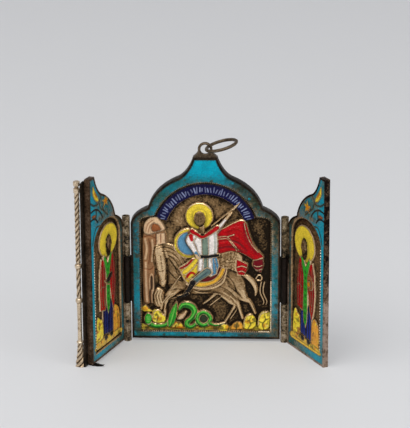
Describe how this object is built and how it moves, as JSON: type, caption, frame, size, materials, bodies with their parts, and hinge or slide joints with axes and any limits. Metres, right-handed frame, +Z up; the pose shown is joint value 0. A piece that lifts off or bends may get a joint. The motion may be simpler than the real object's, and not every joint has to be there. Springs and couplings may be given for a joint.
{
  "type": "folding triptych icon pendant",
  "caption": "Small folding triptych icon in silver and enamel: an arched relief panel with hinged wings, a closing strip, a catch and a hanging ring.",
  "frame": {"origin": "on the surface that the icon stands on, under the middle of its box with the wings as they stand", "axes": "+X to the viewer's right across the centre panel, -Y out of its front, +Z up"},
  "size_m": [0.0596, 0.0238, 0.0508],
  "materials": {
    "enamelled_silver": "oxidised silver relief with coloured champleve enamels, worn",
    "bright_silver": "rubbed silver, bright on the high spots and dark between them",
    "dark_silver": "tarnished silver"
  },
  "bodies": {
    "centre": {"center_panel": "enamelled_silver", "left_hinge_pin": "dark_silver", "right_hinge_pin": "dark_silver", "hanging_eye": "dark_silver", "jump_ring": "dark_silver"},
    "left_leaf": {"left_wing": "enamelled_silver", "closing_strip": "bright_silver", "closing_catch": "dark_silver"},
    "right_leaf": {"right_wing": "enamelled_silver"}
  },
  "joints": [
    {"name": "left_wing_hinge", "type": "hinge", "parent": "centre", "child": "left_leaf", "pos_m": [-0.0189, 0.00655, 0], "axis": [0, 0, 1], "range_deg": [-79, 111]},
    {"name": "right_wing_hinge", "type": "hinge", "parent": "centre", "child": "right_leaf", "pos_m": [0.0193, 0.00655, 0], "axis": [0, 0, -1], "range_deg": [-71, 119]}
  ]
}
